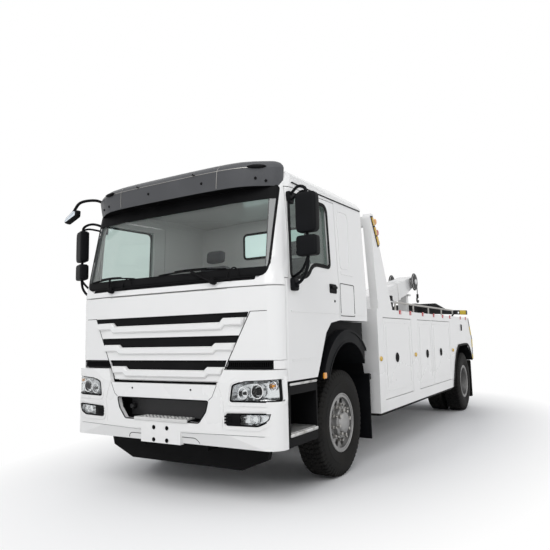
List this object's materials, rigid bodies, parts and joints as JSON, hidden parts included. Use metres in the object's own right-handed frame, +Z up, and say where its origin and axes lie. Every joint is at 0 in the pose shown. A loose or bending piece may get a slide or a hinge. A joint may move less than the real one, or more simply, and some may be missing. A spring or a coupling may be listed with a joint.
{
  "type": "recovery tow truck",
  "caption": "Two-axle recovery truck with a forward-control cab, side tool lockers, a telescopic lifting boom on a mast and a folding underlift with crossbar at the tail.",
  "frame": {"origin": "on the ground, at the middle of the truck's length and width", "axes": "+Z up, the cab faces -Y, +X to the driver's left"},
  "size_m": [3.09, 8.3, 3.09],
  "materials": {
    "white_paint": "gloss",
    "black_steel": "satin",
    "cast_grey": "rough",
    "black_plastic": "matte",
    "grey_plastic": "satin",
    "trim_plastic": "matte",
    "seat_fabric": "woven",
    "deck_plate": "tread plate",
    "glass": "tinted",
    "lamp_lens": "clear",
    "amber_lens": "translucent",
    "cylinder_paint": "gloss",
    "rod_chrome": "polished",
    "tyre": "rubber",
    "wheel_steel": "satin"
  },
  "bodies": {
    "truck": {"cab_roof": "white_paint", "cab_back": "white_paint", "cab_sides": "white_paint", "cab_front": "white_paint", "bumper": "white_paint", "locker_body_left": "white_paint", "locker_body_right": "white_paint", "gantry": "white_paint", "boom_mast": "white_paint", "chassis_frame": "black_steel", "front_axle": "black_steel", "rear_axle": "black_steel", "leaf_springs": "black_steel", "powertrain": "cast_grey", "winches": "cast_grey", "bumper_insert": "black_plastic", "cab_steps": "black_plastic", "front_fenders": "black_plastic", "roof_visor": "grey_plastic", "cab_floor": "trim_plastic", "dashboard": "trim_plastic", "seats": "seat_fabric", "deck": "deck_plate", "windscreen": "glass", "front_lamps": "lamp_lens", "warning_lamps": "amber_lens"},
    "door_left": {"door_left": "white_paint", "door_glass_left": "glass", "mirror_left": "black_plastic"},
    "door_right": {"door_right": "white_paint", "door_glass_right": "glass", "mirror_right": "black_plastic"},
    "front_lid": {"front_lid": "white_paint", "lid_grille": "black_plastic"},
    "locker_door_left_1": {"locker_door_left_1": "white_paint"},
    "locker_door_left_2": {"locker_door_left_2": "white_paint"},
    "locker_door_left_3": {"locker_door_left_3": "white_paint"},
    "locker_door_right_1": {"locker_door_right_1": "white_paint"},
    "locker_door_right_2": {"locker_door_right_2": "white_paint"},
    "locker_door_right_3": {"locker_door_right_3": "white_paint"},
    "boom": {"boom_outer": "white_paint"},
    "boom_tip": {"boom_inner": "white_paint"},
    "hooks": {"hooks": "black_steel"},
    "lift_barrels": {"lift_barrels": "cylinder_paint"},
    "lift_rods": {"lift_rods": "rod_chrome"},
    "underlift": {"underlift_arm": "black_steel"},
    "underlift_bar": {"underlift_bar": "black_steel"},
    "crossbar": {"crossbar": "black_steel"},
    "knuckle_left": {"knuckle_left": "black_steel"},
    "knuckle_right": {"knuckle_right": "black_steel"},
    "tie_rod": {"tie_rod": "black_steel"},
    "wheel_front_left": {"tyre_front_left": "tyre", "rim_front_left": "wheel_steel"},
    "wheel_front_right": {"tyre_front_right": "tyre", "rim_front_right": "wheel_steel"},
    "wheel_rear_left": {"tyre_rear_left": "tyre", "rim_rear_left": "wheel_steel"},
    "wheel_rear_right": {"tyre_rear_right": "tyre", "rim_rear_right": "wheel_steel"}
  },
  "joints": [
    {"name": "steer_left", "type": "hinge", "parent": "truck", "child": "knuckle_left", "pos_m": [0.8, -2.66, 0.5425], "axis": [0, 0, 1], "range_deg": [-40, 40]},
    {"name": "wheel_front_left_spin", "type": "hinge", "parent": "knuckle_left", "child": "wheel_front_left", "pos_m": [1.02, -2.66, 0.5425], "axis": [1, 0, 0], "continuous": true},
    {"name": "wheel_rear_left_spin", "type": "hinge", "parent": "truck", "child": "wheel_rear_left", "pos_m": [0.9075, 2.94, 0.5425], "axis": [1, 0, 0], "continuous": true},
    {"name": "door_left_swing", "type": "hinge", "parent": "truck", "child": "door_left", "pos_m": [1.215, -3.905, 1.5], "axis": [0, 0, -1], "range_deg": [0, 70]},
    {"name": "locker_door_left_1_swing", "type": "hinge", "parent": "truck", "child": "locker_door_left_1", "pos_m": [1.232, -1.532, 1.1575], "axis": [0, 0, -1], "range_deg": [0, 95]},
    {"name": "locker_door_left_2_swing", "type": "hinge", "parent": "truck", "child": "locker_door_left_2", "pos_m": [1.232, -0.082, 1.1575], "axis": [0, 0, -1], "range_deg": [0, 95]},
    {"name": "locker_door_left_3_swing", "type": "hinge", "parent": "truck", "child": "locker_door_left_3", "pos_m": [1.232, 0.7, 1.1575], "axis": [0, 0, -1], "range_deg": [0, 95]},
    {"name": "steer_right", "type": "hinge", "parent": "truck", "child": "knuckle_right", "pos_m": [-0.8, -2.66, 0.5425], "axis": [0, 0, 1], "range_deg": [-40, 40]},
    {"name": "wheel_front_right_spin", "type": "hinge", "parent": "knuckle_right", "child": "wheel_front_right", "pos_m": [-1.02, -2.66, 0.5425], "axis": [1, 0, 0], "continuous": true},
    {"name": "wheel_rear_right_spin", "type": "hinge", "parent": "truck", "child": "wheel_rear_right", "pos_m": [-0.9075, 2.94, 0.5425], "axis": [1, 0, 0], "continuous": true},
    {"name": "door_right_swing", "type": "hinge", "parent": "truck", "child": "door_right", "pos_m": [-1.215, -3.905, 1.5], "axis": [0, 0, 1], "range_deg": [0, 70]},
    {"name": "locker_door_right_1_swing", "type": "hinge", "parent": "truck", "child": "locker_door_right_1", "pos_m": [-1.232, -1.532, 1.1575], "axis": [0, 0, 1], "range_deg": [0, 95]},
    {"name": "locker_door_right_2_swing", "type": "hinge", "parent": "truck", "child": "locker_door_right_2", "pos_m": [-1.232, -0.082, 1.1575], "axis": [0, 0, 1], "range_deg": [0, 95]},
    {"name": "locker_door_right_3_swing", "type": "hinge", "parent": "truck", "child": "locker_door_right_3", "pos_m": [-1.232, 0.7, 1.1575], "axis": [0, 0, 1], "range_deg": [0, 95]},
    {"name": "tie_rod_swing", "type": "hinge", "parent": "knuckle_left", "child": "tie_rod", "pos_m": [0.8, -2.43, 0.34], "axis": [0, 0, 1], "range_deg": [-40, 40]},
    {"name": "front_lid_swing", "type": "hinge", "parent": "truck", "child": "front_lid", "pos_m": [0, -4.082, 1.86], "axis": [-1, 0, 0], "range_deg": [0, 80]},
    {"name": "boom_lift", "type": "hinge", "parent": "truck", "child": "boom", "pos_m": [0, -0.25, 1.74], "axis": [1, 0, 0], "range_deg": [0, 45]},
    {"name": "boom_extend", "type": "slide", "parent": "boom", "child": "boom_tip", "axis": [0, 0.9781, 0.2079], "range_m": [0, 1.6]},
    {"name": "hook_swing", "type": "hinge", "parent": "boom_tip", "child": "hooks", "pos_m": [0, 3.27842, 2.55133], "axis": [1, 0, 0], "range_deg": [-45, 0]},
    {"name": "lift_barrel_swing", "type": "hinge", "parent": "truck", "child": "lift_barrels", "pos_m": [0, 0.55, 1.31], "axis": [1, 0, 0], "range_deg": [0, 47.05]},
    {"name": "lift_rod_slide", "type": "slide", "parent": "lift_barrels", "child": "lift_rods", "axis": [0, 0.8213, 0.5705], "range_m": [0, 0.6988]},
    {"name": "underlift_fold", "type": "hinge", "parent": "truck", "child": "underlift", "pos_m": [0, 3.93, 0.8], "axis": [-1, 0, 0], "range_deg": [0, 90]},
    {"name": "underlift_extend", "type": "slide", "parent": "underlift", "child": "underlift_bar", "axis": [0, 0, 1], "range_m": [0, 0.5]},
    {"name": "crossbar_swivel", "type": "hinge", "parent": "underlift_bar", "child": "crossbar", "pos_m": [0, 4.097, 2], "axis": [0, 1, 0], "range_deg": [-20, 20]}
  ],
  "couplings": [
    {"joint": "steer_right", "follows": "steer_left", "ratio": 1},
    {"joint": "tie_rod_swing", "follows": "steer_left", "ratio": -1},
    {"joint": "hook_swing", "follows": "boom_lift", "ratio": -1},
    {"joint": "lift_barrel_swing", "follows": "boom_lift", "ratio": 1.0344},
    {"joint": "lift_rod_slide", "follows": "boom_lift", "m_per_rad": 0.88333}
  ]
}
